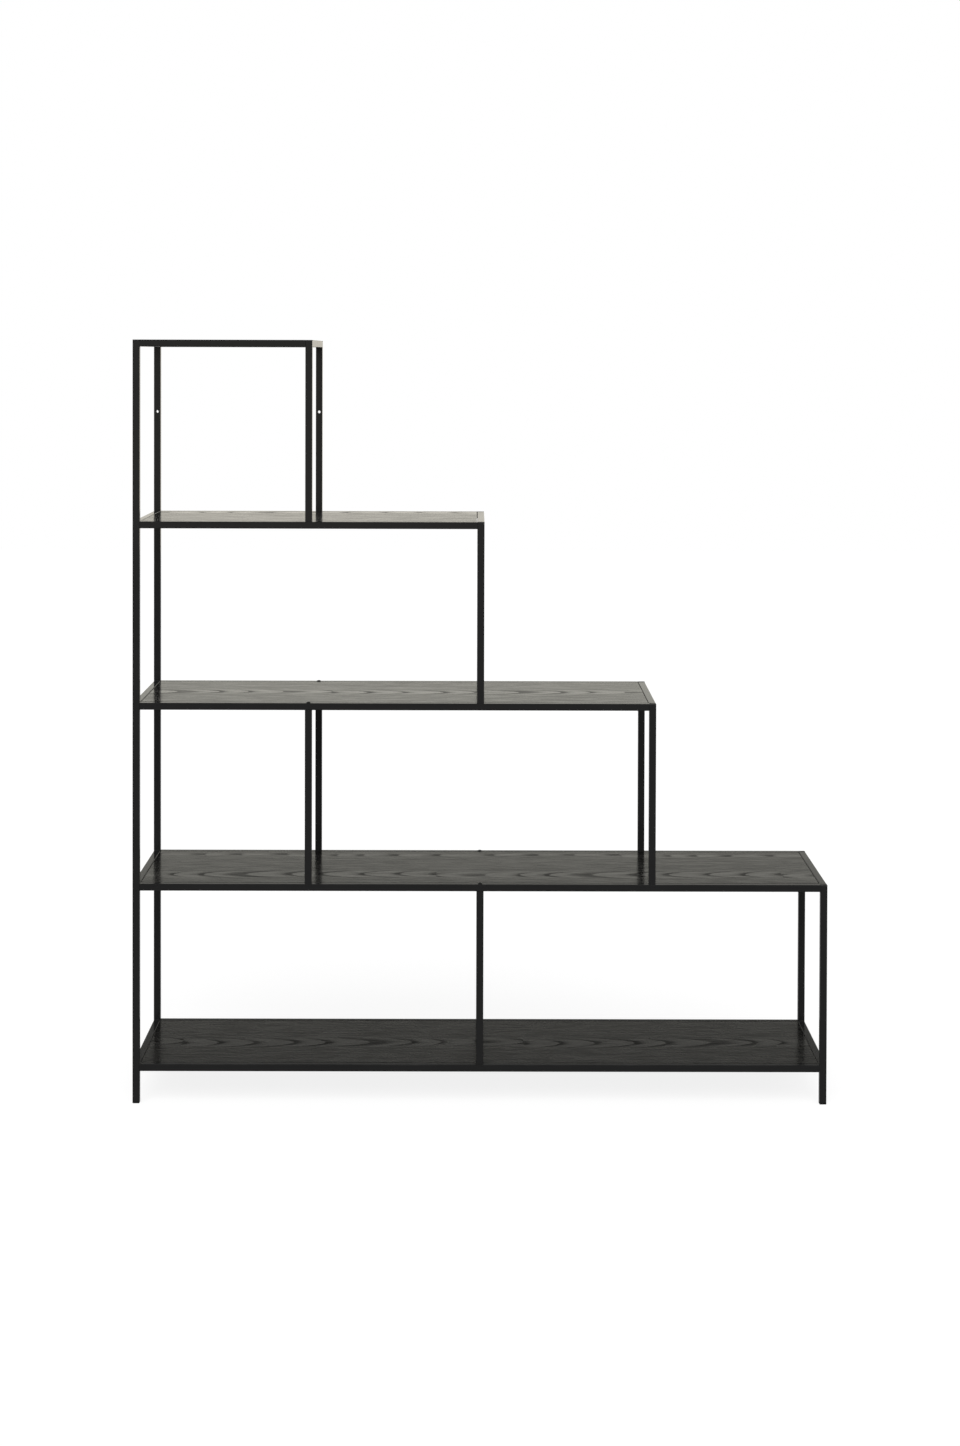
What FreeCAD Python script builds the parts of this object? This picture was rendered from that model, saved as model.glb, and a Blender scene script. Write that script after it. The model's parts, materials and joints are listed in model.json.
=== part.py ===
import FreeCAD, Part
import math
import os
import Sketcher

# A staircase bookshelf: a frame of slim square steel tube that carries four inset shelf boards.
# +X is to the right seen from the front, the front faces -Y, +Z is up, and the feet stand on Z = 0.

# Every size is in millimetres and is written once, here. All other lengths follow from these.
SIZES = {
    # the whole shelf
    "width": 1500,  # over the outer faces of the end posts
    "depth": 350,  # over the outer faces of the front and back posts
    "height": 1650,  # floor to the top of the highest caps
    "floor_gap": 70,  # floor to the underside of the lowest rails
    # square tube
    "tube": 15,
    "tube_wall": 1.2,
    "tube_corner": 1.5,  # outer corner radius
    # square stubs that the ends of the tubes are pressed over
    "plug_fit": 0.1,  # gap on each side between a tube's bore and what is pressed into it
    "stub_length": 24,
    "stub_lead": 1,  # bevel round the free end
    # bolts down through the rails into the divider posts
    "bolt": 6,  # thread diameter
    "bolt_land": 1.25,  # flat of the rail that stays free on each side of the head
    "bolt_edge": 0.7,  # upright edge of the domed head
    "bolt_head": 2.2,  # height of the domed head
    "bolt_key": 4,  # across the flats of its hexagon socket
    "bolt_socket": 1.9,  # depth of that socket
    "nut_length": 14,  # threaded plug in the top of the divider post
    "thread_fit": 0.05,  # radial gap between a bolt and its threaded hole
    "hole_fit": 0.2,  # radial gap between a bolt and a plain hole
    # holes for fixing the shelf to a wall
    "wall_hole": 6.5,
    "wall_hole_drop": 163,  # below the top of the shelf
    # shelf boards, and the sheet brackets that they lie on
    "board": 12,  # thickness
    "board_arris": 0.5,  # chamfer round the upper edges
    "board_fit": 0.3,  # gap between the board's edge and the bracket
    "bracket_sheet": 1,  # thickness of the folded sheet
    "bracket_width": 26,
    "bracket_reach": 20,  # under the board
    "bracket_leg": 9,  # upright leg against the rail
    # moulded caps and feet
    "cap_plate": 2,  # thickness of the visible plate
    "cap_stem": 9,
    "cap_arris": 0.4,
    "foot_plate": 4,
    "foot_stem": 14,
    "foot_arris": 1.2,
}

BAYS = 4  # equal bays across the width
TIERS = 4  # equal tiers above the lowest rails
LEVELS = ["bottom", "second", "third", "fourth", "top"]
LAST_COLUMN = [4, 4, 3, 2, 1]  # post column where each level ends on the right
BOARD_LEVELS = [0, 1, 2, 3]  # the top frame stays open
ROWS = {"front": -1, "back": 1}

# end posts: name, kind, column, highest level; they stand on feet and carry caps
END_POSTS = [("left", "post", 0, LEVELS.index("top")), ("right", "leg", BAYS, LEVELS.index("second"))]
# step posts: name, column, level that they stand on; they reach to where the level above ends, and carry caps
STEPS = ["lower_step", "middle_step", "upper_step"]
STEP_POSTS = [(name, LAST_COLUMN[base + 1], base) for base, name in enumerate(STEPS, LEVELS.index("second"))]
# divider posts: name, column, level that they stand on; they end under the rails one level up
DIVIDER_POSTS = [("lower_divider", 2, LEVELS.index("bottom")), ("upper_divider", 1, LEVELS.index("second"))]
# posts with a wall hole: both reach the top level
WALL_HOLE_POSTS = ["left_back_post", "upper_step_back_post"]

ALONG_X = FreeCAD.Rotation(FreeCAD.Vector(0, 1, 0), 90)  # own +Z to +X, own +X downwards
ALONG_Y = FreeCAD.Rotation(FreeCAD.Vector(1, 0, 0), -90)  # own +Z to +Y
ALONG_MINUS_X = FreeCAD.Rotation(FreeCAD.Vector(0, 1, 0), -90)  # own +Z to -X
HALF_TURN = FreeCAD.Rotation(FreeCAD.Vector(0, 0, 1), 180)
UPSIDE_DOWN = FreeCAD.Rotation(FreeCAD.Vector(1, 0, 0), 180)
UPRIGHT = FreeCAD.Rotation()

# where lengths that more than one piece needs come from
BORE = "(Sizes.tube - 2 * Sizes.tube_wall)"
PLUG = f"({BORE} - 2 * Sizes.plug_fit)"  # side of whatever is pressed into the bore
BOARD_GAP = "(Sizes.bracket_sheet + Sizes.board_fit)"
BOLT_HOLE = "(Sizes.bolt + 2 * Sizes.hole_fit)"
BOLT_RIM = "(Sizes.tube / 2 - Sizes.tube_corner - Sizes.bolt_land)"  # radius of the bolt's head

doc = FreeCAD.newDocument("staircase_bookshelf")
sheet = doc.addObject("Spreadsheet::Sheet", "Sizes")
for line, (alias, size) in enumerate(SIZES.items(), 1):
    sheet.set(f"A{line}", alias)
    sheet.set(f"B{line}", str(size))
    sheet.setAlias(f"B{line}", alias)
doc.recompute()

pieces = []  # the objects that are written out, in order


def value(expression):
    return float(sheet.evalExpression(expression))


# X of the middle of a post column, counted from the left
def column(number):
    return f"(Sizes.tube / 2 - Sizes.width / 2 + {number} * (Sizes.width - Sizes.tube) / {BAYS})"


# Y of the middle of the front or back row of posts and rails
def row(side):
    return f"({side} * (Sizes.depth - Sizes.tube) / 2)"


# Z of the underside of the rails at a level
def rail_bottom(number):
    rise = f"(Sizes.height - Sizes.floor_gap - Sizes.tube) / {TIERS}"
    return f"(Sizes.floor_gap + {number} * {rise})"


def rail_middle(number):
    return f"({rail_bottom(number)} + Sizes.tube / 2)"


def rail_top(number):
    return f"({rail_bottom(number)} + Sizes.tube)"


def place(thing, x, y, z, rotation=UPRIGHT):
    thing.Placement = FreeCAD.Placement(FreeCAD.Vector(), rotation)
    for axis, distance in zip("xyz", (x, y, z)):
        thing.setExpression(f"Placement.Base.{axis}", distance)


def new_body(name):
    body = doc.addObject("PartDesign::Body", name)
    body.Label = name
    return body


def new_sketch(body, role):
    plane = next(feature for feature in body.Origin.OriginFeatures if feature.Role == role)
    sketch = body.newObject("Sketcher::SketchObject", f"{body.Name}_sketch")
    sketch.AttachmentSupport = [(plane, "")]
    sketch.MapMode = "FlatFace"
    return sketch


def bind(sketch, constraint, name, expression):
    index = sketch.addConstraint(constraint)
    sketch.renameConstraint(index, name)
    sketch.setExpression(f"Constraints.{name}", expression)


# closed outline of straight lines through the given points; returns the index of its first line
def draw_outline(sketch, points):
    first = sketch.GeometryCount
    corners = [FreeCAD.Vector(x, y, 0) for x, y in points]
    count = len(corners)
    for k in range(count):
        sketch.addGeometry(Part.LineSegment(corners[k], corners[(k + 1) % count]), False)
    for k in range(count):
        sketch.addConstraint(Sketcher.Constraint("Coincident", first + k, 2, first + (k + 1) % count, 1))
    return first


# rectangle about the sketch's origin
def draw_rectangle(sketch, name, across, along):
    half_across = value(across) / 2
    half_along = value(along) / 2
    first = draw_outline(sketch, [
        (-half_across, -half_along),
        (half_across, -half_along),
        (half_across, half_along),
        (-half_across, half_along),
    ])
    for k in (first, first + 2):
        sketch.addConstraint(Sketcher.Constraint("Horizontal", k))
        sketch.addConstraint(Sketcher.Constraint("Vertical", k + 1))
    sketch.addConstraint(Sketcher.Constraint("Symmetric", first, 1, first + 1, 2, -1, 1))
    bind(sketch, Sketcher.Constraint("Distance", first, 2 * half_across), f"{name}_across", across)
    bind(sketch, Sketcher.Constraint("Distance", first + 1, 2 * half_along), f"{name}_along", along)


# hexagon about the sketch's origin, two of its corners on the sketch's X axis
def draw_hexagon(sketch, across_flats):
    radius = value(across_flats) / math.sqrt(3)
    turns = [math.radians(60 * k) for k in range(6)]
    first = draw_outline(sketch, [(radius * math.cos(a), radius * math.sin(a)) for a in turns])
    circle = sketch.addGeometry(Part.Circle(FreeCAD.Vector(), FreeCAD.Vector(0, 0, 1), radius), True)
    sketch.addConstraint(Sketcher.Constraint("Coincident", circle, 3, -1, 1))
    for k in range(6):
        sketch.addConstraint(Sketcher.Constraint("PointOnObject", first + k, 1, circle))
    for k in range(1, 6):
        sketch.addConstraint(Sketcher.Constraint("Equal", first, first + k))
    sketch.addConstraint(Sketcher.Constraint("PointOnObject", first, 1, -1))
    bind(sketch, Sketcher.Constraint("Radius", circle, radius), "corner", f"{across_flats} / sqrt(3)")


# circles up the sketch's own Y axis
def draw_circles(sketch, heights, diameter):
    for k, height in enumerate(heights):
        centre = FreeCAD.Vector(0, value(height), 0)
        circle = sketch.addGeometry(Part.Circle(centre, FreeCAD.Vector(0, 0, 1), value(diameter) / 2), False)
        sketch.addConstraint(Sketcher.Constraint("PointOnObject", circle, 3, -2))
        bind(sketch, Sketcher.Constraint("DistanceY", -1, 1, circle, 3, value(height)), f"height_{k}", height)
        bind(sketch, Sketcher.Constraint("Diameter", circle, value(diameter)), f"diameter_{k}", diameter)


def pad(body, sketch, length, downwards=False, symmetric=False):
    feature = body.newObject("PartDesign::Pad", f"{body.Name}_pad")
    feature.Profile = sketch
    feature.Reversed = downwards
    feature.SideType = "Symmetric" if symmetric else "One side"
    feature.setExpression("Length", length)
    doc.recompute()
    return feature


# round holes through both walls of a tube, at heights along it
def drill(body, role, heights, diameter):
    sketch = new_sketch(body, role)
    draw_circles(sketch, heights, diameter)
    doc.recompute()
    before = body.Shape.Volume
    hole = body.newObject("PartDesign::Pocket", f"{body.Name}_hole")
    hole.Profile = sketch
    hole.Type = "ThroughAll"
    hole.SideType = "Symmetric"
    doc.recompute()
    metal = 2 * value("Sizes.tube_wall")
    expected = len(heights) * math.pi * value(diameter) ** 2 / 4 * metal
    removed = before - body.Shape.Volume
    if abs(removed - expected) > 0.01 * expected:
        raise RuntimeError(f"{body.Label}: holes took away {removed:.2f} mm3, not {expected:.2f}")


# names of a feature's edges whose middle passes the test
def edges_where(feature, test):
    found = []
    for number, edge in enumerate(feature.Shape.Edges, 1):
        if test(edge.CenterOfMass):
            found.append(f"Edge{number}")
    return found


def near(a, b):
    return abs(a - b) < 1e-4


def dress(body, kind, feature, edges, size_name, size):
    dressing = body.newObject(kind, f"{body.Name}_{kind.split('::')[1].lower()}")
    dressing.Base = (feature, edges)
    dressing.setExpression(size_name, size)
    doc.recompute()
    return dressing


# square tube up its own Z axis, with rounded outer corners
def square_tube(name, length):
    body = new_body(name)
    sketch = new_sketch(body, "XY_Plane")
    draw_rectangle(sketch, "outside", "Sizes.tube", "Sizes.tube")
    draw_rectangle(sketch, "bore", BORE, BORE)
    wall = pad(body, sketch, length)
    half = value("Sizes.tube") / 2
    corners = edges_where(wall, lambda middle: near(abs(middle.x), half) and near(abs(middle.y), half))
    dress(body, "PartDesign::Fillet", wall, corners, "Radius", "Sizes.tube_corner")
    pieces.append(body)
    return body


# a post, with a hole for fixing to a wall near its top where it has one
def make_post(name, number, side, bottom, top):
    body = square_tube(name, f"{top} - {bottom}")
    if name in WALL_HOLE_POSTS:
        height = f"Sizes.height - Sizes.wall_hole_drop - {bottom}"
        drill(body, "XZ_Plane", [height], "Sizes.wall_hole")
    place(body, column(number), row(side), bottom)


def make_posts():
    for row_name, side in ROWS.items():
        for name, kind, number, highest in END_POSTS:
            top = f"({rail_top(highest)} - Sizes.cap_plate)"
            make_post(f"{name}_{row_name}_{kind}", number, side, "Sizes.foot_plate", top)
        for name, number, base in STEP_POSTS:
            top = f"({rail_top(base + 1)} - Sizes.cap_plate)"
            make_post(f"{name}_{row_name}_post", number, side, rail_top(base), top)
        for name, number, base in DIVIDER_POSTS:
            make_post(f"{name}_{row_name}_post", number, side, rail_top(base), rail_bottom(base + 1))


# long rails between the end posts of a level, bored where a divider post is bolted on from above
def make_long_rails():
    for number, level_name in enumerate(LEVELS):
        left = f"({column(0)} + Sizes.tube / 2)"
        length = f"({column(LAST_COLUMN[number])} - Sizes.tube / 2 - {left})"
        bolted = [post_column for _, post_column, base in DIVIDER_POSTS if base + 1 == number]
        for row_name, side in ROWS.items():
            rail = square_tube(f"{level_name}_{row_name}_rail", length)
            if bolted:
                bolt_spots = [f"{column(post_column)} - {left}" for post_column in bolted]
                drill(rail, "YZ_Plane", bolt_spots, BOLT_HOLE)
            place(rail, left, row(side), rail_middle(number), ALONG_X)


# short rails between the front and back posts, welded on at both ends of a level
def make_side_rails():
    for number, level_name in enumerate(LEVELS):
        for side_name, post_column in (("left", 0), ("right", LAST_COLUMN[number])):
            rail = square_tube(f"{level_name}_{side_name}_rail", "Sizes.depth - 2 * Sizes.tube")
            front = "Sizes.tube - Sizes.depth / 2"
            place(rail, column(post_column), front, rail_middle(number), ALONG_Y)


# boards lie level with the tops of the rails
def make_shelves():
    wide = f"(Sizes.depth - 2 * Sizes.tube - 2 * {BOARD_GAP})"
    for number in BOARD_LEVELS:
        board = new_body(f"{LEVELS[number]}_shelf")
        sketch = new_sketch(board, "XY_Plane")
        right = column(LAST_COLUMN[number])
        long = f"({right} - {column(0)} - Sizes.tube - 2 * {BOARD_GAP})"
        draw_rectangle(sketch, "board", long, wide)
        slab = pad(board, sketch, "Sizes.board", downwards=True)
        upper = edges_where(slab, lambda middle: near(middle.z, 0))
        dress(board, "PartDesign::Chamfer", slab, upper, "Size", "Sizes.board_arris")
        place(board, f"({column(0)} + {right}) / 2", "0", rail_top(number))
        pieces.append(board)


# moulded plug: a plate that closes the tube, its outer edge bevelled, and a square stem in the bore
def end_plug(name, plate, stem, arris):
    body = new_body(name)
    plate_sketch = new_sketch(body, "XY_Plane")
    draw_rectangle(plate_sketch, "plate", "Sizes.tube", "Sizes.tube")
    slab = pad(body, plate_sketch, plate)
    # a bevel that just touches the tube's rounded corner
    corners = edges_where(slab, lambda middle: near(middle.z, value(plate) / 2))
    touching = "Sizes.tube_corner * (2 - sqrt(2))"
    bevelled = dress(body, "PartDesign::Chamfer", slab, corners, "Size", touching)
    rim = edges_where(bevelled, lambda middle: near(middle.z, value(plate)))
    dress(body, "PartDesign::Chamfer", bevelled, rim, "Size", arris)
    stem_sketch = new_sketch(body, "XY_Plane")
    draw_rectangle(stem_sketch, "stem", PLUG, PLUG)
    pad(body, stem_sketch, stem, downwards=True)
    pieces.append(body)
    return body


def make_caps_and_feet():
    for row_name, side in ROWS.items():
        capped = [(name, number, highest) for name, _, number, highest in END_POSTS]
        capped += [(name, number, base + 1) for name, number, base in STEP_POSTS]
        for name, number, highest in capped:
            cap = end_plug(f"{name}_{row_name}_cap", "Sizes.cap_plate", "Sizes.cap_stem", "Sizes.cap_arris")
            place(cap, column(number), row(side), f"{rail_top(highest)} - Sizes.cap_plate")
        for name, _, number, _ in END_POSTS:
            foot_name = f"{name}_{row_name}_foot"
            foot = end_plug(foot_name, "Sizes.foot_plate", "Sizes.foot_stem", "Sizes.foot_arris")
            place(foot, column(number), row(side), "Sizes.foot_plate", UPSIDE_DOWN)


# one node that holds copies of a pattern piece; spots are X, Y, Z and a rotation
def make_group(name, pattern, spots):
    copies = []
    for k, (x, y, z, rotation) in enumerate(spots):
        copy = doc.addObject("App::Link", f"{name}_{k}")
        copy.LinkedObject = pattern
        place(copy, x, y, z, rotation)
        copies.append(copy)
    group = doc.addObject("Part::Compound", name)
    group.Label = name
    group.Links = copies
    doc.recompute()
    pieces.append(group)


# square bar up its own Z axis, welded on at Z = 0, with a bevel round its free end
def stub_pattern():
    body = new_body("stub")
    sketch = new_sketch(body, "XY_Plane")
    draw_rectangle(sketch, "bar", PLUG, PLUG)
    bar = pad(body, sketch, "Sizes.stub_length")
    free_end = edges_where(bar, lambda middle: near(middle.z, value("Sizes.stub_length")))
    dress(body, "PartDesign::Chamfer", bar, free_end, "Size", "Sizes.stub_lead")
    return body


# domed bolt, revolved about its own Z axis: its head's flat seat lies on Z = 0, the shank below it
def bolt_pattern():
    body = new_body("bolt")
    sketch = new_sketch(body, "XZ_Plane")
    shank = value("Sizes.bolt") / 2
    rim = value(BOLT_RIM)
    edge = value("Sizes.bolt_edge")
    crown = value("Sizes.bolt_head")
    reach = "(Sizes.tube + Sizes.nut_length)"
    corners = [(0, crown), (0, -value(reach)), (shank, -value(reach)), (shank, 0), (rim, 0), (rim, edge)]
    points = [FreeCAD.Vector(x, y, 0) for x, y in corners]
    for k in range(len(points) - 1):
        sketch.addGeometry(Part.LineSegment(points[k], points[k + 1]), False)
    # the dome is part of a sphere whose middle is on the axis
    radius = (rim**2 + (crown - edge) ** 2) / (2 * (crown - edge))
    halfway = math.asin(rim / radius) / 2
    on_dome = FreeCAD.Vector(radius * math.sin(halfway), crown - radius + radius * math.cos(halfway), 0)
    dome = sketch.addGeometry(Part.Arc(points[-1], on_dome, points[0]), False)
    for k in range(len(points) - 2):
        sketch.addConstraint(Sketcher.Constraint("Coincident", k, 2, k + 1, 1))
    sketch.addConstraint(Sketcher.Constraint("Coincident", len(points) - 2, 2, dome, 1))
    sketch.addConstraint(Sketcher.Constraint("Coincident", dome, 2, 0, 1))
    sketch.addConstraint(Sketcher.Constraint("PointOnObject", dome, 3, -2))
    for k in (0, 2, 4):
        sketch.addConstraint(Sketcher.Constraint("Vertical", k))
    for k in (1, 3):
        sketch.addConstraint(Sketcher.Constraint("Horizontal", k))
    sketch.addConstraint(Sketcher.Constraint("PointOnObject", 0, 1, -2))
    sketch.addConstraint(Sketcher.Constraint("PointOnObject", 3, 1, -1))
    bind(sketch, Sketcher.Constraint("Distance", 1, shank), "shank", "Sizes.bolt / 2")
    bind(sketch, Sketcher.Constraint("Distance", 2, value(reach)), "reach", reach)
    bind(sketch, Sketcher.Constraint("Distance", 3, rim - shank), "rim", f"{BOLT_RIM} - Sizes.bolt / 2")
    bind(sketch, Sketcher.Constraint("Distance", 4, edge), "edge", "Sizes.bolt_edge")
    bind(sketch, Sketcher.Constraint("DistanceY", -1, 1, 0, 1, crown), "crown", "Sizes.bolt_head")
    turned = body.newObject("PartDesign::Revolution", "bolt_turned")
    turned.Profile = sketch
    turned.ReferenceAxis = (sketch, ["V_Axis"])
    turned.Angle = 360
    doc.recompute()
    sink_socket(body)
    return body


# hexagon socket, from its floor up through the dome
def sink_socket(body):
    sketch = new_sketch(body, "XY_Plane")
    sketch.setExpression("AttachmentOffset.Base.z", "Sizes.bolt_head - Sizes.bolt_socket")
    draw_hexagon(sketch, "Sizes.bolt_key")
    doc.recompute()
    before = body.Shape.Volume
    socket = body.newObject("PartDesign::Pocket", f"{body.Name}_socket")
    socket.Profile = sketch
    socket.Type = "ThroughAll"
    socket.Reversed = True
    doc.recompute()
    if body.Shape.Volume >= before:
        raise RuntimeError(f"{body.Label}: the socket took nothing away")


# threaded plug down its own Z axis, with its hole along that axis
def nut_pattern():
    body = new_body("nut")
    sketch = new_sketch(body, "XY_Plane")
    draw_rectangle(sketch, "plug", PLUG, PLUG)
    tapped = "(Sizes.bolt + 2 * Sizes.thread_fit)"
    circle = sketch.addGeometry(Part.Circle(FreeCAD.Vector(), FreeCAD.Vector(0, 0, 1), 1), False)
    sketch.addConstraint(Sketcher.Constraint("Coincident", circle, 3, -1, 1))
    bind(sketch, Sketcher.Constraint("Diameter", circle, value(tapped)), "tapped", tapped)
    pad(body, sketch, "Sizes.nut_length", downwards=True)
    return body


# folded sheet: its upright leg on Y = 0 stands against a front rail, its foot reaches to +Y under
# the board, whose underside is on Z = 0
def bracket_pattern():
    body = new_body("bracket")
    sketch = new_sketch(body, "YZ_Plane")
    sheet_metal = value("Sizes.bracket_sheet")
    reach = value("Sizes.bracket_reach")
    leg = value("Sizes.bracket_leg")
    first = draw_outline(sketch, [
        (0, -sheet_metal),
        (reach, -sheet_metal),
        (reach, 0),
        (sheet_metal, 0),
        (sheet_metal, leg),
        (0, leg),
    ])
    for k in (0, 2, 4):
        sketch.addConstraint(Sketcher.Constraint("Horizontal", first + k))
        sketch.addConstraint(Sketcher.Constraint("Vertical", first + k + 1))
    sketch.addConstraint(Sketcher.Constraint("PointOnObject", first + 2, 1, -1))
    sketch.addConstraint(Sketcher.Constraint("PointOnObject", first, 1, -2))
    thickness = "Sizes.bracket_sheet"
    bind(sketch, Sketcher.Constraint("Distance", first, reach), "reach", "Sizes.bracket_reach")
    bind(sketch, Sketcher.Constraint("Distance", first + 1, sheet_metal), "foot", thickness)
    bind(sketch, Sketcher.Constraint("Distance", first + 3, leg), "leg", "Sizes.bracket_leg")
    bind(sketch, Sketcher.Constraint("Distance", first + 4, sheet_metal), "upright", thickness)
    angle = pad(body, sketch, "Sizes.bracket_width", symmetric=True)
    # the sheet keeps its thickness round the fold, which is sharp on the inside
    outside = edges_where(angle, lambda middle: near(middle.y, 0) and near(middle.z, -sheet_metal))
    dress(body, "PartDesign::Fillet", angle, outside, "Radius", thickness)
    return body


# stubs: on the faces of the posts for the rails, and on top of the rails for the posts
def make_stubs():
    rail_spots = []
    for number in range(len(LEVELS)):
        left_face = f"{column(0)} + Sizes.tube / 2"
        right_face = f"{column(LAST_COLUMN[number])} - Sizes.tube / 2"
        for side in ROWS.values():
            rail_spots.append((left_face, row(side), rail_middle(number), ALONG_X))
            rail_spots.append((right_face, row(side), rail_middle(number), ALONG_MINUS_X))
    post_spots = []
    for _, number, base in STEP_POSTS + DIVIDER_POSTS:
        for side in ROWS.values():
            post_spots.append((column(number), row(side), rail_top(base), UPRIGHT))
    stub = stub_pattern()
    make_group("rail_stubs", stub, rail_spots)
    make_group("post_stubs", stub, post_spots)


# each divider post is bolted on from above, into a threaded plug in its top
def make_divider_bolts():
    bolt_spots = []
    nut_spots = []
    for _, number, base in DIVIDER_POSTS:
        for side in ROWS.values():
            bolt_spots.append((column(number), row(side), rail_top(base + 1), UPRIGHT))
            nut_spots.append((column(number), row(side), rail_bottom(base + 1), UPRIGHT))
    make_group("divider_bolts", bolt_pattern(), bolt_spots)
    make_group("divider_nuts", nut_pattern(), nut_spots)


# one bracket in the middle of each bay, on the front rail and on the back rail
def make_brackets():
    bracket = bracket_pattern()
    inner_face = "(Sizes.depth / 2 - Sizes.tube)"
    for number in BOARD_LEVELS:
        underside = f"{rail_top(number)} - Sizes.board"
        spots = []
        for bay in range(LAST_COLUMN[number]):
            middle = f"({column(bay)} + {column(bay + 1)}) / 2"
            spots.append((middle, f"-{inner_face}", underside, UPRIGHT))
            spots.append((middle, inner_face, underside, HALF_TURN))
        make_group(f"{LEVELS[number]}_shelf_brackets", bracket, spots)


def check_model():
    for thing in doc.Objects:
        if "Invalid" in thing.State or "Error" in thing.State:
            raise RuntimeError(f"{thing.Name} failed: {thing.State}")
    for piece in pieces:
        if piece.Shape.isNull() or not piece.Shape.isValid():
            raise RuntimeError(f"{piece.Label} has no valid shape")


make_posts()
make_long_rails()
make_side_rails()
make_shelves()
make_caps_and_feet()
make_stubs()
make_divider_bolts()
make_brackets()
doc.recompute()
check_model()

os.makedirs("parts", exist_ok=True)
for piece in pieces:
    piece.Shape.exportStep(f"parts/{piece.Label}.step")
solids = sum(len(piece.Shape.Solids) for piece in pieces)
print(f"{len(pieces)} nodes, {solids} solids")
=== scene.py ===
import json
import math

import bmesh
import bpy
import numpy as np
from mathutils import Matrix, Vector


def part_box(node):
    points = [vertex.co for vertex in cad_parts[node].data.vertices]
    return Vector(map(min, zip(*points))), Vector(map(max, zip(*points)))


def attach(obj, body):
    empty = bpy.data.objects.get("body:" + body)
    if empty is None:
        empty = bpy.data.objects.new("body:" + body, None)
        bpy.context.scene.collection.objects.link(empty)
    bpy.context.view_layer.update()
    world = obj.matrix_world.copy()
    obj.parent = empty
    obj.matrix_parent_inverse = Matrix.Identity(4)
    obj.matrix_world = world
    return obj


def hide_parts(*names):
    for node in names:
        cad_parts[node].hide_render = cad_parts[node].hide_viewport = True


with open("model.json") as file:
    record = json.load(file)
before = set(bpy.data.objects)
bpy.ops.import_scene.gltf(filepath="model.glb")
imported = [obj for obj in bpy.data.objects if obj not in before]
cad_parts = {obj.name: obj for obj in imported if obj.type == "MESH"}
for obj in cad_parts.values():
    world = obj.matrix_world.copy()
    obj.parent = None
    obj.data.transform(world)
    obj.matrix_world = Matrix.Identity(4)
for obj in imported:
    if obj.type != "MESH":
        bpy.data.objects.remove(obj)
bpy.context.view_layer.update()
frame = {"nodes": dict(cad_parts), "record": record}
nodes = frame["nodes"]
print("frame loaded:", len(nodes), "pieces of the shelf")


# a shader socket that can stand in a plain sum, so that 1 - mask adds its own Math node
class Flow:
    def __init__(self, finish, socket):
        self.finish = finish
        self.socket = socket

    def sum(self, operation, *terms):
        return self.finish.node("ShaderNodeMath", {"operation": operation}, dict(enumerate(terms)))

    def __add__(self, other):
        return self.sum("ADD", self, other)

    def __radd__(self, other):
        return self.sum("ADD", other, self)

    def __sub__(self, other):
        return self.sum("SUBTRACT", self, other)

    def __rsub__(self, other):
        return self.sum("SUBTRACT", other, self)

    def __mul__(self, other):
        return self.sum("MULTIPLY", self, other)

    def __rmul__(self, other):
        return self.sum("MULTIPLY", other, self)

    def __truediv__(self, other):
        return self.sum("DIVIDE", self, other)

    def __rtruediv__(self, other):
        return self.sum("DIVIDE", other, self)

    def __abs__(self):
        return self.sum("ABSOLUTE", self)

    def floor(self):
        return self.sum("FLOOR", self)

    def larger(self, other):
        return self.sum("MAXIMUM", self, other)

    def wrapped(self, high, low):
        return self.sum("WRAP", self, high, low)

    def centred(self):  # moves a value that lies about a half to lie about 0
        return self - 0.5


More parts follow.
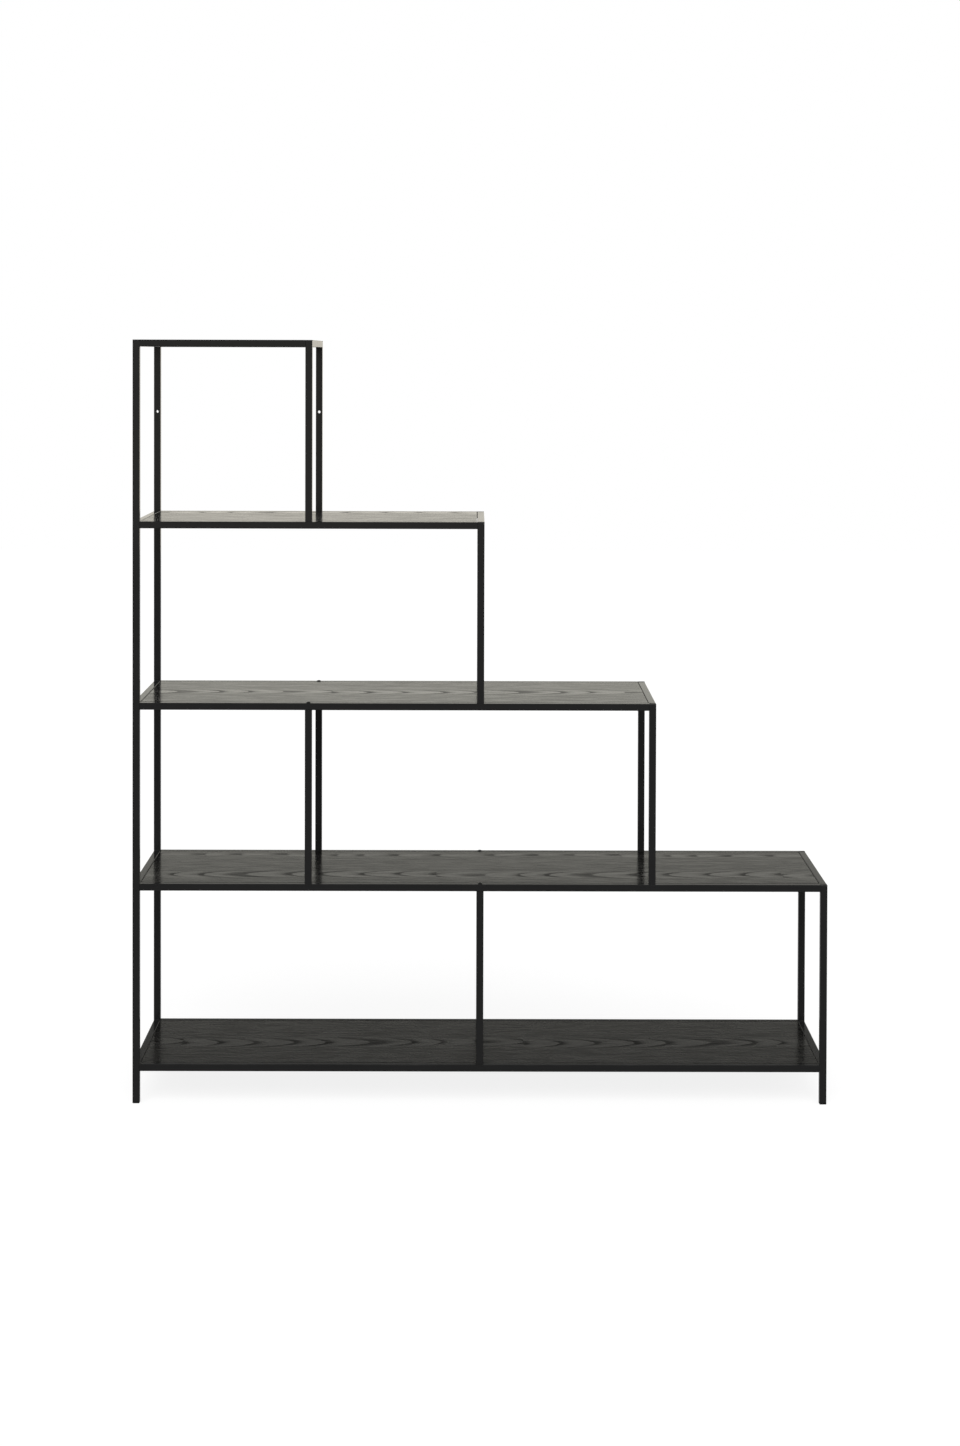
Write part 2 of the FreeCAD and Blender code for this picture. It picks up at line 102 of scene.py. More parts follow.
# a node tree with its shader: one method adds any node, the others are short names for common ones
class Finish:
    def __init__(self, name, tree=None):
        if tree is None:
            self.material = bpy.data.materials.new(name)
            self.material.use_nodes = True
            tree = self.material.node_tree
        self.tree = tree
        self.shader = tree.nodes.get("Principled BSDF")

    def put(self, socket, value):
        if isinstance(value, Flow):
            self.tree.links.new(value.socket, socket)
        else:
            socket.default_value = value

    def node(self, kind, settings=None, sockets=None, out=0):
        made = self.tree.nodes.new(kind)
        for key, value in (settings or {}).items():
            if key == "stops":
                self.fillRamp(made.color_ramp, value)
            else:
                setattr(made.color_ramp if key == "interpolation" else made, key, value)
        for key, value in (sockets or {}).items():
            self.put(made.inputs[key], value)
        return Flow(self, made.outputs[out]) if made.outputs else None

    def fillRamp(self, ramp, stops):  # places and colours, from place 0
        ramp.elements.remove(ramp.elements[1])
        for number, (place, colour) in enumerate(stops):
            stop = ramp.elements.new(place) if number else ramp.elements[0]
            stop.color = colour

    def parts(self, vector):
        return [self.node("ShaderNodeSeparateXYZ", sockets={0: vector}, out=axis) for axis in "XYZ"]

    def place(self):
        return self.parts(self.node("ShaderNodeTexCoord", out="Object"))

    def noise(self, place, along, across, detail, rough):  # per metre along X and across it
        x, y, z = place
        spot = {"X": x * along, "Y": y * across, "Z": z * across}
        return self.node("ShaderNodeTexNoise", sockets={
            "Vector": self.node("ShaderNodeCombineXYZ", sockets=spot),
            "Scale": 1.0,
            "Detail": detail,
            "Roughness": rough,
        })

    def ease(self, value, low, high):  # smooth step from 0 at low to 1 at high
        return self.node("ShaderNodeMapRange", {"interpolation_type": "SMOOTHSTEP"}, {
            "Value": value, "From Min": low, "From Max": high,
        })

    def blend(self, factor, first, second):  # colours
        sockets = {0: factor, 6: first, 7: second}
        return self.node("ShaderNodeMix", {"data_type": "RGBA"}, sockets, out=2)

    def relief(self, height, depth):
        return self.node("ShaderNodeBump", sockets={"Height": height, "Distance": depth})

    def dress(self, colour, roughness, relief, others):
        self.put(self.shader.inputs["Base Color"], colour)
        self.put(self.shader.inputs["Roughness"], roughness)
        self.put(self.shader.inputs["Normal"], relief)
        for socket, value in others.items():
            self.put(self.shader.inputs[socket], value)
        return self.material


def grey(level, warmth=0.0):
    return (level * (1 + warmth), level, level * (1 - 2 * warmth), 1.0)


# an even value with each pattern's share added to it
def mixed(shares, patterns):
    added = [share * patterns[name] for name, share in shares.items() if name != "even"]
    return sum(added, shares["even"])


# powder coat: fine grains over a soft orange peel, with a painted highlight and a little rub along the
# tube's rounded corners;
# here and below, a noise has its rates per metre along X and across it, its detail and its roughness
powderCoat = {
    "dark": 0.011,
    "light": 0.018,
    # colour along the rounded corners: a painted edge highlight, with a little rub wear
    "rubbed": 0.026,
    "gloss": 0.125,
    "grain": (2000, 2000, 1.0, 0.5),
    "peel": (250, 250, 1.0, 0.5),
    "patches": (9, 9, 4.0, 0.6),
    "speckleRange": (0.3, 0.7),  # from all dark to all light
    "cornerRange": (0.03, 0.25),  # lean of the surface, from a tube's flat to its corner
    "rubbedRange": (0.42, 0.68),  # of the patches
    # the patterns' shares in how light the coat is, how rough and how high
    "speckle": {"even": 0.5, "grain": 0.8, "patches": 0.2},
    "rough": {"even": 0.15, "grain": 0.1, "patches": 0.08, "corner": 0.04},
    "height": {"even": 0.0, "grain": 0.5, "peel": 1.5},
    "relief": 0.000004,
}


def powderCoatFinish():
    coat = Finish("blackPowderCoat")
    place = coat.place()
    noises = ("grain", "peel", "patches")
    grain, peel, patches = (coat.noise(place, *powderCoat[noise]) for noise in noises)
    normal = coat.node("ShaderNodeNewGeometry", out="Normal")
    sides = [abs(side) for side in coat.parts(normal)]
    lean = 1 - sides[0].larger(sides[1]).larger(sides[2])
    corner = coat.ease(lean, *powderCoat["cornerRange"])
    # patches along the rounded corners get a lighter colour: a painted edge highlight, with some rub wear
    rubbed = corner * coat.ease(patches, *powderCoat["rubbedRange"])
    patterns = {
        "grain": grain.centred(),
        "peel": peel.centred(),
        "patches": patches.centred(),
        "corner": corner,
    }
    speckle = coat.ease(mixed(powderCoat["speckle"], patterns), *powderCoat["speckleRange"])
    colour = coat.blend(speckle, grey(powderCoat["dark"]), grey(powderCoat["light"]))
    colour = coat.blend(rubbed, colour, grey(powderCoat["rubbed"]))
    relief = coat.relief(mixed(powderCoat["height"], patterns), powderCoat["relief"])
    return coat.dress(colour, mixed(powderCoat["rough"], patterns), relief, {
        "Specular IOR Level": powderCoat["gloss"],
    })


# black ash effect: rows of nested arrow heads run along the board, with fine straight grain between
ashBoard = {
    "repeat": 0.76,  # the pattern comes again after this length
    "rowSlope": 0.013,  # sideways, over one repeat
    "rowStray": 0.006,
    "armSweep": 65.0,  # how far an arrow's arms lie behind its tip, for each square metre of width
    "ragged": 0.14,  # unevenness of a head's edge, as a share of the spacing
    "armFade": (0.7, 1.25),  # a head ends between these shares of its arms
    "rowFade": (0.6, 1.1),  # and the pale wood between these shares of the row's half width
    "fullShade": 0.35,  # share of a head's run that is wholly dark
    "paleStart": 0.6,  # share of the run where the pale wood begins
    "paleRise": 0.4,  # of the spacing, until it is palest
    "wander": (3.1, 2.0, 1.0, 0.5),
    "edges": (70, 260, 3.0, 0.6),
    "bands": (18, 110, 2.0, 0.5),
    "streaks": (7, 330, 4.0, 0.6),
    "fineLines": (24, 1500, 2.0, 0.5),
    "pores": (75, 2300, 1.0, 0.5),
    "bandRange": (0.32, 0.68),
    "poreRange": (0.6, 0.7),
    "dark": 0.003,
    "light": 0.018,
    "warmth": 0.03,
    # the figure's shares in how light the stain is, how well the lacquer covers it, how rough and how high
    "stain": {
        "even": 0.4, "streak": 1.2, "fine": 1.8, "pale": 0.5, "head": -0.6, "band": 0.5, "pore": -0.4,
    },
    "lacquer": {
        "even": 0.78, "streak": 0.6, "fine": 0.5, "pale": 0.24, "head": -0.38, "band": 0.24, "pore": -0.15,
    },
    "rough": {"even": 0.4, "streak": -0.2, "head": 0.2, "pore": 0.1},
    "height": {"even": 0.5, "streak": 0.6, "fine": 0.3, "head": -0.8, "pore": -0.15},
    "lacquerIndex": 1.26,
    "lacquerRoughness": 0.16,
    "gloss": 0.02,  # of the wood under the lacquer
    "relief": 0.000005,
}
# two rows of arrow heads: half is the width of the pale wood beside a row's middle, and each head has
# its tip along the pattern, how far its shade runs on, how far out its arms show, and how dark it is
ashRows = [
    {
        "across": 0.0,
        "lag": 0.0,  # of a repeat
        "half": 0.034,
        "heads": [
            (0.0, 0.022, 0.018, 1.0),
            (0.08, 0.022, 0.022, 1.0),
            (0.159, 0.021, 0.034, 1.0),
            (0.248, 0.022, 0.034, 1.0),
            (0.318, 0.03, 0.034, 1.0),
            (0.417, 0.065, 0.034, 0.72),
            (0.511, 0.02, 0.026, 1.0),
            (0.576, 0.016, 0.02, 1.0),
            (0.653, 0.065, 0.008, 0.8),
        ],
    },
    {
        "across": -0.198,
        "lag": 0.548,
        "half": 0.014,
        "heads": [
            (0.0, 0.045, 0.009, 0.8),
            (0.105, 0.039, 0.009, 0.8),
            (0.188, 0.042, 0.009, 0.8),
            (0.288, 0.031, 0.009, 0.8),
            (0.411, 0.028, 0.009, 0.8),
            (0.507, 0.031, 0.009, 0.8),
            (0.586, 0.021, 0.009, 0.8),
            (0.645, 0.024, 0.009, 0.8),
        ],
    },
]
# each board is cut from the pattern at its own place: the first row's Y, the way its heads point, and
# the first head's X
boardCuts = {
    "bottom_shelf": {"row": -0.01, "way": 1, "start": -0.662},
    "second_shelf": {"row": -0.078, "way": -1, "start": 0.664},
    "third_shelf": {"row": -0.006, "way": 1, "start": -1.091},
    "fourth_shelf": {"row": 0.126, "way": -1, "start": 0.7045},
}


# ring count = heads passed + sweep * across squared, so its whole numbers are nested parabolas; gives
# the dark of a row's heads and the pale of the wood between them
def rowFigure(board, row, along, aside, lines):
    heads, repeat = row["heads"], ashBoard["repeat"]
    count = len(heads)
    tips = [head[0] for head in heads] + [repeat]
    turn = (along / repeat + row["lag"]).wrapped(1, 0)
    stray = ashBoard["rowStray"] * lines("wander").centred() + ashBoard["rowSlope"] * turn.centred()
    across = aside - row["across"] - stray
    counted = [(tip / repeat, grey(number / count)) for number, tip in enumerate(tips)]
    passed = board.node("ShaderNodeValToRGB", {"stops": counted}, {0: turn}) * count
    ragged = ashBoard["ragged"] * lines("edges").centred()
    rings = passed + across * across * (ashBoard["armSweep"] * count / repeat) + ragged
    ring = rings.floor()
    inRing = rings - ring

    # the head's own run, as a share of the way to the next tip, its arms and how dark it is
    nexts = zip(heads, tips[1:])
    own = [(run / (after - tip), arms, dark, 1) for (tip, run, arms, dark), after in nexts]
    ownSteps = {
        "interpolation": "CONSTANT",
        "stops": [(number / count, values) for number, values in enumerate(own)],
    }
    middleOfStep = (ring.wrapped(count, 0) + 0.5) / count
    run, arms, dark = board.parts(board.node("ShaderNodeValToRGB", ownSteps, {0: middleOfStep}))
    offRow = abs(across)
    armsHold, armsEnd = ashBoard["armFade"]
    rowHolds, rowEnds = ashBoard["rowFade"]
    nearHead = 1 - board.ease(offRow, arms * armsHold, arms * armsEnd)
    nearRow = 1 - board.ease(offRow, row["half"] * rowHolds, row["half"] * rowEnds)
    head = dark * nearHead * (1 - board.ease(inRing, run * ashBoard["fullShade"], run))
    paleFrom = run * ashBoard["paleStart"]
    return head, nearRow * board.ease(inRing, paleFrom, paleFrom + ashBoard["paleRise"])


def boardFinish(name, cut):
    board = Finish(name + "Ash")
    place = board.place()

    def lines(pattern):
        return board.noise(place, *ashBoard[pattern])

    along, aside = (place[0] - cut["start"]) * cut["way"], (place[1] - cut["row"]) * cut["way"]
    rows = [rowFigure(board, row, along, aside, lines) for row in ashRows]
    (head, pale), (secondHead, secondPale) = rows
    figure = {
        "head": head + secondHead,
        "pale": pale + secondPale,
        "streak": lines("streaks").centred(),
        "fine": lines("fineLines").centred(),
        "pore": board.ease(lines("pores"), *ashBoard["poreRange"]),
        "band": board.ease(lines("bands"), *ashBoard["bandRange"]).centred(),
    }
    dark, light = (grey(ashBoard[shade], ashBoard["warmth"]) for shade in ("dark", "light"))
    colour = board.blend(mixed(ashBoard["stain"], figure), dark, light)
    relief = board.relief(mixed(ashBoard["height"], figure), ashBoard["relief"])
    return board.dress(colour, mixed(ashBoard["rough"], figure), relief, {
        "Specular IOR Level": ashBoard["gloss"],
        "Coat Weight": mixed(ashBoard["lacquer"], figure),
        "Coat IOR": ashBoard["lacquerIndex"],
        "Coat Roughness": ashBoard["lacquerRoughness"],
    })


# moulded plastic with a fine spark-eroded skin: the caps are a little greyer than the feet, as painted
# light for their lit tops
capPlastic = {
    "dark": 0.024,
    "light": 0.036,
    "gloss": 0.04,
    "skin": (2500, 2500, 2.0, 0.7),
    "clouds": (60, 60, 2.0, 0.5),
    "rough": {"even": 0.36, "skin": 0.15, "clouds": 0.08},
    "relief": 0.00001,
}
footPlastic = {
    **capPlastic,
    "dark": 0.008,
    "light": 0.012,
    "gloss": 0.06,
    "rough": {"even": 0.45, "skin": 0.15, "clouds": 0.08},
    "relief": 0.000012,
}


def plasticFinish(name, plastic):
    moulded = Finish(name)
    place = moulded.place()
    skin, clouds = (moulded.noise(place, *plastic[pattern]) for pattern in ("skin", "clouds"))
    colour = moulded.blend(skin, grey(plastic["dark"]), grey(plastic["light"]))
    roughness = mixed(plastic["rough"], {"skin": skin.centred(), "clouds": clouds.centred()})
    return moulded.dress(colour, roughness, moulded.relief(skin, plastic["relief"]), {
        "Specular IOR Level": plastic["gloss"],
    })


# blackened steel of the bolts, mottled where the blackening has bloomed
blackenedSteel = {
    "dark": 0.018,
    "bloomed": 0.05,
    "metal": 0.6,
    "bloom": (700, 700, 3.0, 0.65),
    "bloomRange": (0.4, 0.75),
    "rough": {"even": 0.34, "bloom": 0.2},
    "relief": 0.000006,
}


def boltFinish():
    steel = Finish("blackenedSteel")
    bloom = steel.noise(steel.place(), *blackenedSteel["bloom"])
    bloomed = steel.ease(bloom, *blackenedSteel["bloomRange"])
    colour = steel.blend(bloomed, grey(blackenedSteel["dark"]), grey(blackenedSteel["bloomed"]))
    roughness = mixed(blackenedSteel["rough"], {"bloom": bloom.centred()})
    return steel.dress(colour, roughness, steel.relief(bloom, blackenedSteel["relief"]), {
        "Metallic": blackenedSteel["metal"],
    })


# bare drawn steel inside the tubes, with draw lines along X
drawnSteel = {
    "dark": 0.3,
    "light": 0.5,
    "metal": 1.0,
    "lines": (40, 2600, 3.0, 0.5),
    "rough": {"even": 0.3, "lines": 0.2},
    "relief": 0.000006,
}


def plainSteelFinish():
    steel = Finish("drawnSteel")
    lines = steel.noise(steel.place(), *drawnSteel["lines"])
    colour = steel.blend(lines, grey(drawnSteel["dark"]), grey(drawnSteel["light"]))
    roughness = mixed(drawnSteel["rough"], {"lines": lines.centred()})
    return steel.dress(colour, roughness, steel.relief(lines, drawnSteel["relief"]), {
        "Metallic": drawnSteel["metal"],
    })


finishes = {
    "black_powder_coat": powderCoatFinish(),
    "black_plastic": plasticFinish("footPlastic", footPlastic),
    "black_bolt": boltFinish(),
    "plain_steel": plainSteelFinish(),
}
# the caps' lighter grey is painted light on their lit tops
litCapFinish = plasticFinish("capPlastic", capPlastic)
slotOf = {part["node"]: part["material_slot"] for part in frame["record"]["subparts"]}
for name, part in nodes.items():
    part.data.materials.clear()
    if name in boardCuts:
        part.data.materials.append(boardFinish(name, boardCuts[name]))
    else:
        part.data.materials.append(finishes[slotOf[name]])
print("finishes:", len(bpy.data.materials), "materials")


# quads between the rings of a skin, which is an array of rings x points x 3
def ringFaces(rings, points, first):
    ring, point = np.meshgrid(np.arange(rings - 1), np.arange(points), indexing="ij")
    after = (point + 1) % points
    this, above = ring * points, (ring + 1) * points
    corners = [this + point, this + after, above + after, above + point]
    return np.stack(corners, axis=-1).reshape(-1, 4) + first


sameSpot = 1e-7  # points this near to each other, in metres, become one


# the first and last rings of each skin are single points, whose copies are merged so that it closes
def makePiece(name, skins, finish, replaced=(), smoothAngle=35):
    starts = np.cumsum([0] + [skin.shape[0] * skin.shape[1] for skin in skins])
    faces = [ringFaces(skin.shape[0], skin.shape[1], start) for skin, start in zip(skins, starts)]
    points = [skin.reshape(-1, 3) for skin in skins]
    mesh = bpy.data.meshes.new(name)
    mesh.from_pydata(np.concatenate(points), [], np.concatenate(faces).tolist())
    work = bmesh.new()
    work.from_mesh(mesh)
    bmesh.ops.remove_doubles(work, verts=work.verts, dist=sameSpot)
    bmesh.ops.dissolve_degenerate(work, edges=work.edges, dist=sameSpot)
    bmesh.ops.recalc_face_normals(work, faces=work.faces)
    work.to_mesh(mesh)
    work.free()
    mesh.materials.append(finish)
    mesh.shade_smooth()
    mesh.set_sharp_from_angle(angle=math.radians(smoothAngle))
    piece = bpy.data.objects.new(name, mesh)
    bpy.context.scene.collection.objects.link(piece)
    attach(piece, "root")
    if replaced:
        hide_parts(*replaced)


# outlines of rounded boxes, one for each ring: a quarter circle at each corner, joined by straight sides
def roundedOutlines(halfWide, halfHigh, radius, perCorner):
    quarter = np.linspace(0, np.pi / 2, perCorner)
    angle = np.concatenate([quarter + turn * np.pi / 2 for turn in range(4)])
    signWide = np.repeat([1, -1, -1, 1], perCorner)
    signHigh = np.repeat([1, 1, -1, -1], perCorner)
    halfWide, halfHigh, radius = (np.asarray(size)[:, None] for size in (halfWide, halfHigh, radius))
    wide = signWide * (halfWide - radius) + radius * np.cos(angle)
    high = signHigh * (halfHigh - radius) + radius * np.sin(angle)
    return wide, high


# turned skin: each ring has a reach from the axis and a height on it, and both may change round the turn
def turnedSkin(rings, place, points):
    turn = np.linspace(0, math.tau, points, endpoint=False)
    reach, height = (np.stack([np.broadcast_to(ring[k], turn.shape) for ring in rings]) for k in (0, 1))
    return np.stack([reach * np.cos(turn), reach * np.sin(turn), height], axis=-1) + np.array(place)


def middle(name):
    low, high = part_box(name)
    return (low + high) / 2


# plugs in the ends of the posts; stem is half its width
endCap = {
    "stem": 0.0062,
    "stemLength": 0.009,
    "stemCorner": 0.000375,
    "edge": 0.0006,
    "crown": 0.00012,
    "corner": 0.0015,
    "edgeRings": 6,
    "faceRings": 4,
    "cornerPoints": 8,
}
foot = {**endCap, "stemLength": 0.014, "edge": 0.0013, "crown": 0.0}


# a rounded square carried up a profile: stem, then a plate whose edge is a quarter circle and whose
# corners sharpen by half of the inset, then a face that swells with the square of the way in
def plugSkin(shape, half, thick, place, upwards):
    turn = np.linspace(0, np.pi / 2, shape["edgeRings"])
    inset = shape["edge"] * (1 - np.cos(turn))
    share = np.linspace(1, 0, shape["faceRings"] + 1)[1:]
    stem, stemCorner, corner = shape["stem"], shape["stemCorner"], shape["corner"]
    halves = np.concatenate([[0, stem, stem, half], half - inset, (half - shape["edge"]) * share])
    radii = np.concatenate([[0, stemCorner, stemCorner, corner], corner - inset / 2, corner * share])
    heights = np.concatenate([
        [-shape["stemLength"], -shape["stemLength"], 0, 0],
        thick - shape["crown"] - shape["edge"] * (1 - np.sin(turn)),
        thick - shape["crown"] * share ** 2,
    ])
    wide, deep = roundedOutlines(halves, halves, radii, shape["cornerPoints"])
    high = np.broadcast_to(heights[:, None] * upwards, wide.shape)
    return np.stack([wide, deep, high], axis=-1) + np.array(place)


def makePlugs():
    for name in nodes:
        if not name.endswith(("_cap", "_foot")):
            continue
        low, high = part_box(name)
        isCap = name.endswith("_cap")
        shape = endCap if isCap else foot
        thick = high.z - low.z - shape["stemLength"]
        seat = high.z - thick if isCap else low.z + thick
        x, y, _ = middle(name)
        skin = plugSkin(shape, (high.x - low.x) / 2, thick, (x, y, seat), 1 if isCap else -1)
        finish = litCapFinish if isCap else finishes["black_plastic"]
        makePiece(name.title().replace("_", ""), [skin], finish, [name])


makePlugs()
print("caps and feet made")


# domed bolts that hold the divider posts, with a hexagon socket
dividerBolt = {
    "rim": 0.00475,
    "edge": 0.0007,
    "crown": 0.0022,
    "flats": 0.004,
    "socket": 0.0019,
    "drillPoint": 0.0003,
    "bevel": 0.00015,
    "shank": 0.003,
    "length": 0.029,
    "domeRings": 7,
    "points": 48,
}


# reach of a hexagon's side: half the flats, over the cosine of the turn from the nearest flat
def hexagonReach(turn, flats):
    fromFlat = (turn + np.pi / 6) % (np.pi / 3) - np.pi / 6
    return flats / 2 / np.cos(fromFlat)


# dome height at a reach: crown less the fall of a sphere that meets the rim at its upright edge
def boltRings():
    bolt = dividerBolt
    rim, edge, crown, bevel = (bolt[size] for size in ("rim", "edge", "crown", "bevel"))
    shank, end = bolt["shank"], -bolt["length"]
    rise = crown - edge
    sphere = (rim ** 2 + rise ** 2) / (2 * rise)

    def dome(reach):
        return crown - sphere + np.sqrt(sphere ** 2 - reach ** 2)

    hexagon = hexagonReach(np.linspace(0, math.tau, bolt["points"], endpoint=False), bolt["flats"])
    mouth = hexagon + bevel
    floor = crown - bolt["socket"]
    reaches = [mouth + (rim - bevel - mouth) * share for share in np.linspace(0, 1, bolt["domeRings"])]
    socketRings = [(0, floor - bolt["drillPoint"]), (hexagon, floor), (hexagon, dome(hexagon) - bevel)]
    domeRings = [(reach, dome(reach)) for reach in reaches]
    rimRings = [(rim, edge - bevel), (rim, bevel), (rim - bevel, 0)]
    shankRings = [(shank, 0), (shank, end + edge), (shank - edge, end), (0, end)]
    return socketRings + domeRings + rimRings + shankRings


def makeBolts():
    rings = boltRings()
    skins = []
    for name in nodes:
        if "_divider_" not in name:
            continue
        low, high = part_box(name)
        x, y, _ = middle(name)
        railTop = high.z + high.x - low.x  # the rail is as high as the post is wide
        skins.append(turnedSkin(rings, (x, y, railTop), dividerBolt["points"]))
    makePiece("dividerBolts", skins, finishes["black_bolt"], ["divider_bolts"])


makeBolts()
print("bolts made")


# folded sheet brackets that the boards lie on
shelfBracket = {
    "sheet": 0.001,
    "width": 0.026,
    "reach": 0.02,  # of the foot, from the rail
    "leg": 0.009,  # upright, above the foot
    "bend": 0.0009,  # radius at the middle of the sheet
    "footCorner": 0.006,
    "legCorner": 0.002,
    "edge": 0.00015,
    "bendRings": 8,
    "edgePoints": 3,
}


# a thin rounded strip goes down the leg, round the bend and out along the foot; near either end its
# half width lies on a quarter circle
def bracketSkin(x, railFace, inwards, underside):
    shape = shelfBracket
    half, thick, bend = shape["width"] / 2, shape["sheet"] / 2, shape["bend"]
    turn = np.linspace(0, np.pi / 2, shape["bendRings"])
    still = np.zeros_like(turn)
    corners = (shape["legCorner"], shape["footCorner"])
    legEnd, footEnd = (corner * (1 - np.cos(turn)) for corner in corners)
    legHalf, footHalf = (half - corner * (1 - np.sin(turn)) for corner in corners)
    footOut = (shape["reach"] - footEnd)[::-1]
    out = np.concatenate([still + thick, thick + bend * (1 - np.cos(turn)), footOut])
    up = np.concatenate([shape["leg"] - legEnd, bend * (1 - np.sin(turn)) - thick, still - thick])
    lean = np.concatenate([still, turn, still + np.pi / 2])  # from the board's edge to its underside
    halves = np.concatenate([legHalf, still + half, footHalf[::-1]])
    ends = np.concatenate([[0], np.ones(len(out)), [0]])
    out, up, lean, halves = (np.pad(line, 1, mode="edge") for line in (out, up, lean, halves))
    wide, high = roundedOutlines(halves * ends, thick * ends, shape["edge"] * ends, shape["edgePoints"])
    depth = railFace + inwards * (out[:, None] + high * np.cos(lean)[:, None])
    height = underside + up[:, None] + high * np.sin(lean)[:, None]
    return np.stack([x + wide, depth, height], axis=-1)


# one in the middle of each bay, on the front rail and on the back rail
def makeBrackets():
    steps = [step + "_step_front_post" for step in ("upper", "middle", "lower")]
    columns = np.array([middle(name).x for name in ["left_front_post"] + steps + ["right_front_leg"]])
    bays = (columns[1:] + columns[:-1]) / 2
    coat = finishes["black_powder_coat"]
    for board in boardCuts:
        low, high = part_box(board)
        skins = []
        for rail, inwards in (("front", 1), ("back", -1)):
            railLow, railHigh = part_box(board.replace("shelf", rail + "_rail"))
            railFace = railHigh.y if rail == "front" else railLow.y
            skins += [bracketSkin(x, railFace, inwards, low.z) for x in bays if x < high.x]
        replaced = board + "_brackets"
        makePiece(replaced.title().replace("_", ""), skins, coat, [replaced])


makeBrackets()
print("brackets made")


# welds at each end of a side rail, in the corners with its post: below it, and above it where the post
# goes on
weldBelow = {
    "length": 0.0115,
    "reach": 0.0016,
    "ripples": 7,
    "ripple": 0.09,  # share of the reach
    "rings": 43,
    "points": 16,
}
weldAbove = {
    **weldBelow,
    "length": 0.013,
    "reach": 0.0028,
    "ripples": 6,
    "ripple": 0.03,
    "postAbove": 0.01,  # a post that goes on has more than this above the rail
}


# a bar whose reach swells with each ripple, and which closes at both ends as 1 - share ** 4 does
def beadSkin(weld, place):
    share = np.linspace(-1, 1, weld["rings"])[:, None]
    turn = np.linspace(0, math.tau, weld["points"], endpoint=False)
    swell = 1 + weld["ripple"] * np.cos(share * math.tau * weld["ripples"] / 2)
    reach = weld["reach"] * swell * np.sqrt(1 - share ** 4)
    along = np.broadcast_to(share * weld["length"] / 2, (len(share), len(turn)))
    return np.stack([along, reach * np.cos(turn), reach * np.sin(turn)], axis=-1) + np.array(place)


def makeWelds():
    posts = [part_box(name) for name in nodes if name.endswith(("_post", "_leg"))]
    coat = finishes["black_powder_coat"]
    skins = []
    for name in nodes:
        if not name.endswith(("_left_rail", "_right_rail")):
            continue
        low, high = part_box(name)
        x = middle(name).x
        here = [(bottom, top) for bottom, top in posts if bottom.x < x < top.x]
        goesOn = any(bottom.z < high.z < top.z - weldAbove["postAbove"] for bottom, top in here)
        for end in (low.y, high.y):
            skins.append(beadSkin(weldBelow, (x, end, low.z)))
            if goesOn:
                skins.append(beadSkin(weldAbove, (x, end, high.z)))
    makePiece("weldBeads", skins, coat, smoothAngle=80)


makeWelds()
print("welds made")


# camera, as it stood for the photograph: its lens in millimetres, its place in metres, turns in degrees
photoCamera = {
    "sensor": 36.0,
    "lens": 57.94,
    "place": (-0.0166, -5.1771, 1.6186),
    "pitch": -1.0,
    "yaw": -0.1516,
    "roll": -0.1538,
    "shiftDown": 0.2264,
}


def makeCamera():
    data = bpy.data.cameras.new("photoCamera")
    data.sensor_fit = "AUTO"
    data.sensor_width = photoCamera["sensor"]
    data.lens = photoCamera["lens"]
    data.shift_y = -photoCamera["shiftDown"]
    camera = bpy.data.objects.new("photoCamera", data)
    camera.location = photoCamera["place"]
    turns = (90 + photoCamera["pitch"], photoCamera["roll"], photoCamera["yaw"])
    camera.rotation_euler = [math.radians(turn) for turn in turns]
    bpy.context.scene.collection.objects.link(camera)
    bpy.context.scene.camera = camera


# soft studio: pale walls all round under a dim ceiling, a broad lamp above the front and a weaker one
# at the right
studio = {
    "sky": 0.5,
    "wallFoot": (1.0, 0.943, 0.83, 1.0),
    "wallHead": (1.0, 0.988, 0.89, 1.0),
    "ceiling": 0.085,
    "toWallHead": (0.04, 0.14),  # from and to these heights, as the sine of the angle
    "toCeiling": (0.08, 0.33),
    "key": {"round": -8, "up": 48, "strength": 1.7, "spread": 50},  # degrees
    "fill": {"round": 25, "up": 25, "strength": 0.6, "spread": 60},
    "floorHalf": 14.0,
    "floorColour": 0.2,
    "floorGlow": 0.85,
    "floorMirrored": 0.25,
    "floorMottle": (3, 3, 2.0, 0.5),
    "floorRough": {"even": 0.9, "mottle": 0.1},
    "floorRelief": 0.0002,
}


def rayKind(finish, *kinds):
    rays = [finish.node("ShaderNodeLightPath", out=f"Is {kind} Ray") for kind in kinds]
    return rays[0] if len(rays) == 1 else rays[0].larger(rays[1])


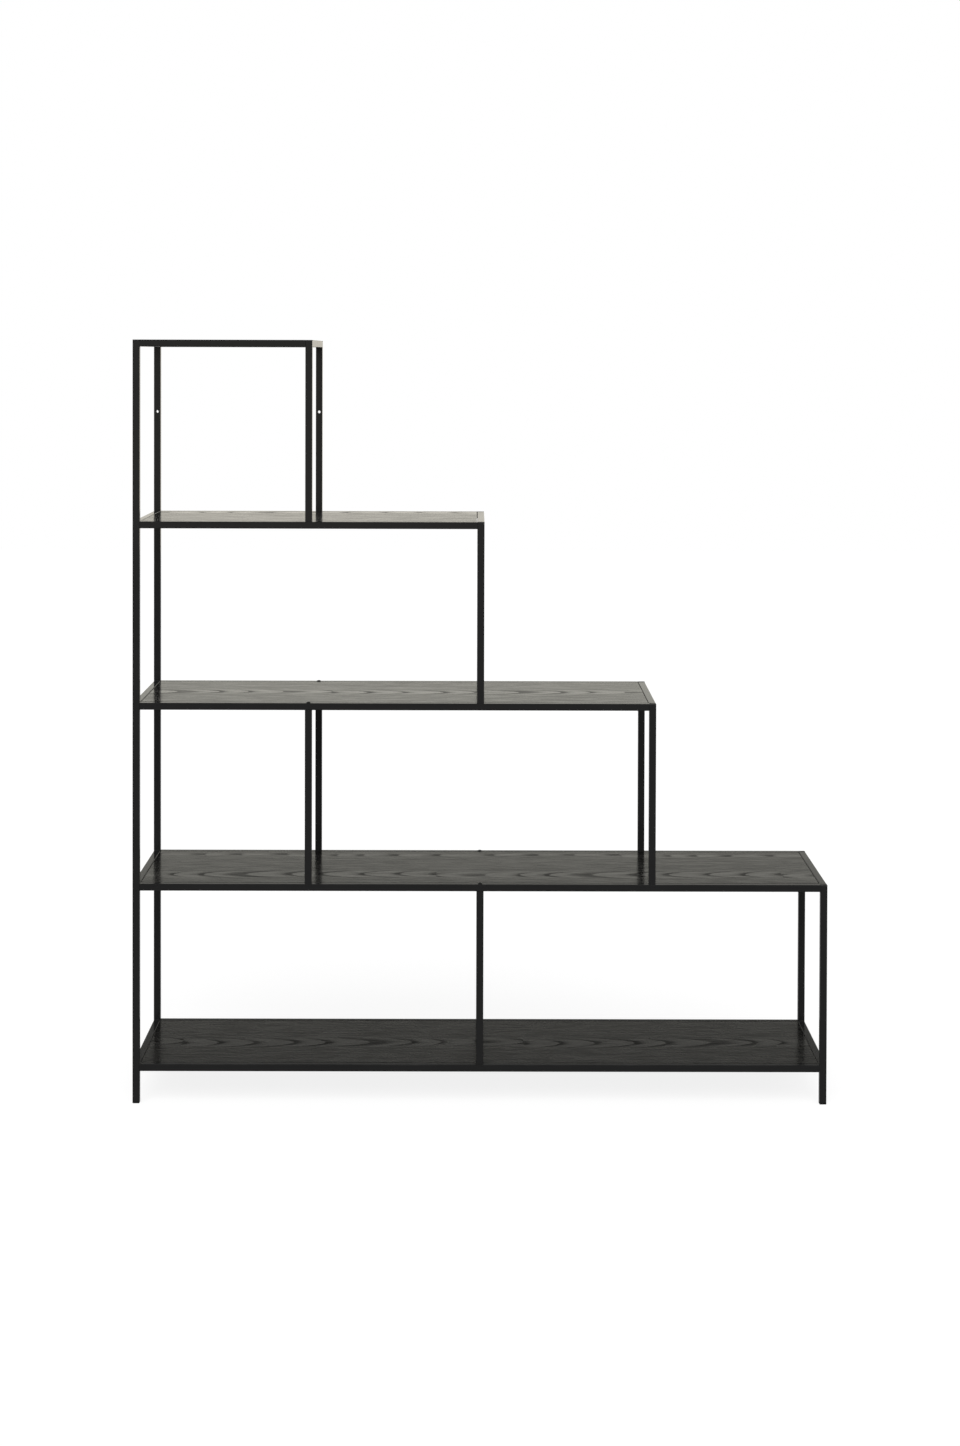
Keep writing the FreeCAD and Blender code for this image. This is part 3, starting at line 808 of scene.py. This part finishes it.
# the camera sees white, mirrors see the walls and ceiling, and everything else is lit by the even sky
def makeWorld():
    world = bpy.data.worlds.new("studio")
    bpy.context.scene.world = world
    world.use_nodes = True
    world.node_tree.nodes.clear()
    room = Finish("studio", world.node_tree)
    height = room.parts(room.node("ShaderNodeTexCoord", out="Generated"))[2]
    wall = room.blend(room.ease(height, *studio["toWallHead"]), studio["wallFoot"], studio["wallHead"])
    mirrored = room.blend(room.ease(height, *studio["toCeiling"]), wall, grey(studio["ceiling"]))
    lit = room.blend(rayKind(room, "Glossy", "Transmission"), grey(studio["sky"]), mirrored)
    seen = room.blend(rayKind(room, "Camera"), lit, grey(1.0))
    background = room.node("ShaderNodeBackground", sockets={"Color": seen})
    room.node("ShaderNodeOutputWorld", sockets={"Surface": background})


def makeLamp(name, lamp):
    data = bpy.data.lights.new(name, "SUN")
    data.energy = lamp["strength"]
    data.angle = math.radians(lamp["spread"])
    light = bpy.data.objects.new(name, data)
    light.rotation_euler = (math.radians(90 - lamp["up"]), 0, math.radians(lamp["round"]))
    light.visible_glossy = False
    bpy.context.scene.collection.objects.link(light)


# the floor's own glow brings it up to white for the camera, and less far for mirrors, so its shadow
# stays light
def makeFloor():
    half = studio["floorHalf"]
    mesh = bpy.data.meshes.new("floor")
    corners = np.array([(-half, -half, 0), (half, -half, 0), (half, half, 0), (-half, half, 0)], float)
    mesh.from_pydata(corners, [], [(0, 1, 2, 3)])
    floor = bpy.data.objects.new("floor", mesh)
    bpy.context.scene.collection.objects.link(floor)
    paper = Finish("paleFloor")
    mottle = paper.noise(paper.place(), *studio["floorMottle"])
    inMirrors = rayKind(paper, "Glossy", "Transmission")
    mirrored = paper.blend(inMirrors, grey(0.0), grey(studio["floorMirrored"]))
    glow = paper.blend(rayKind(paper, "Camera"), mirrored, grey(studio["floorGlow"]))
    relief = paper.relief(mottle, studio["floorRelief"])
    roughness = mixed(studio["floorRough"], {"mottle": mottle.centred()})
    mesh.materials.append(paper.dress(grey(studio["floorColour"]), roughness, relief, {
        "Specular IOR Level": 0.0, "Emission Color": glow, "Emission Strength": 1.0,
    }))


makeCamera()
makeWorld()
makeLamp("key", studio["key"])
makeLamp("fill", studio["fill"])
makeFloor()
bpy.context.scene.view_settings.view_transform = "Standard"
print("studio ready")
